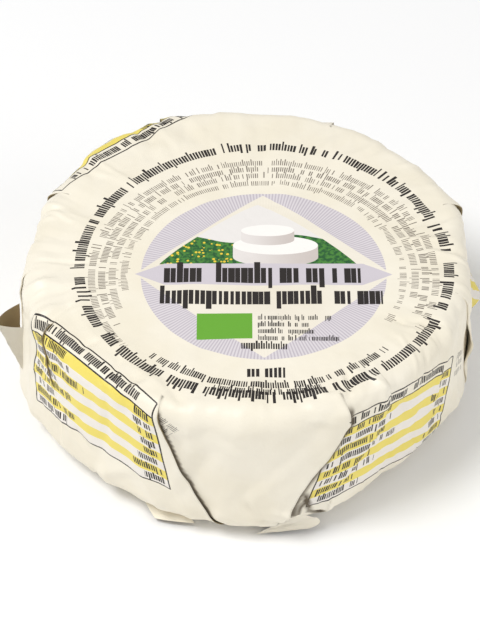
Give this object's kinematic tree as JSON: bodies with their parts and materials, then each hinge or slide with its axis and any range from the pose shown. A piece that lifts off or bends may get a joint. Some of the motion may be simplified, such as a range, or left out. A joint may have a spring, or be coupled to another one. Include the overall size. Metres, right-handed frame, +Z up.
{
  "type": "cheese wheel in folded paper",
  "caption": "Small low wheel of soft white-rind cheese, wrapped in a sheet of cream paper that is pleated down the side and folded under.",
  "frame": {"origin": "middle of the underside, on the wheel's axis and on the plane it stands on", "axes": "+Z up along the wheel's axis; -Y towards the front, the plain side panel between the two striped ones; +X to the right"},
  "size_m": [0.0914, 0.086, 0.031],
  "materials": {
    "white_rind": "matt white mould rind over a pale cream cheese, with a fine downy grain",
    "coated_paper": "cream coated paper with a soft satin sheen, printed with a round lilac label, rings of short dark marks and yellow-striped panels"
  },
  "bodies": {
    "root": {"cheese": "white_rind", "paper_wrapper": "coated_paper"}
  },
  "joints": []
}
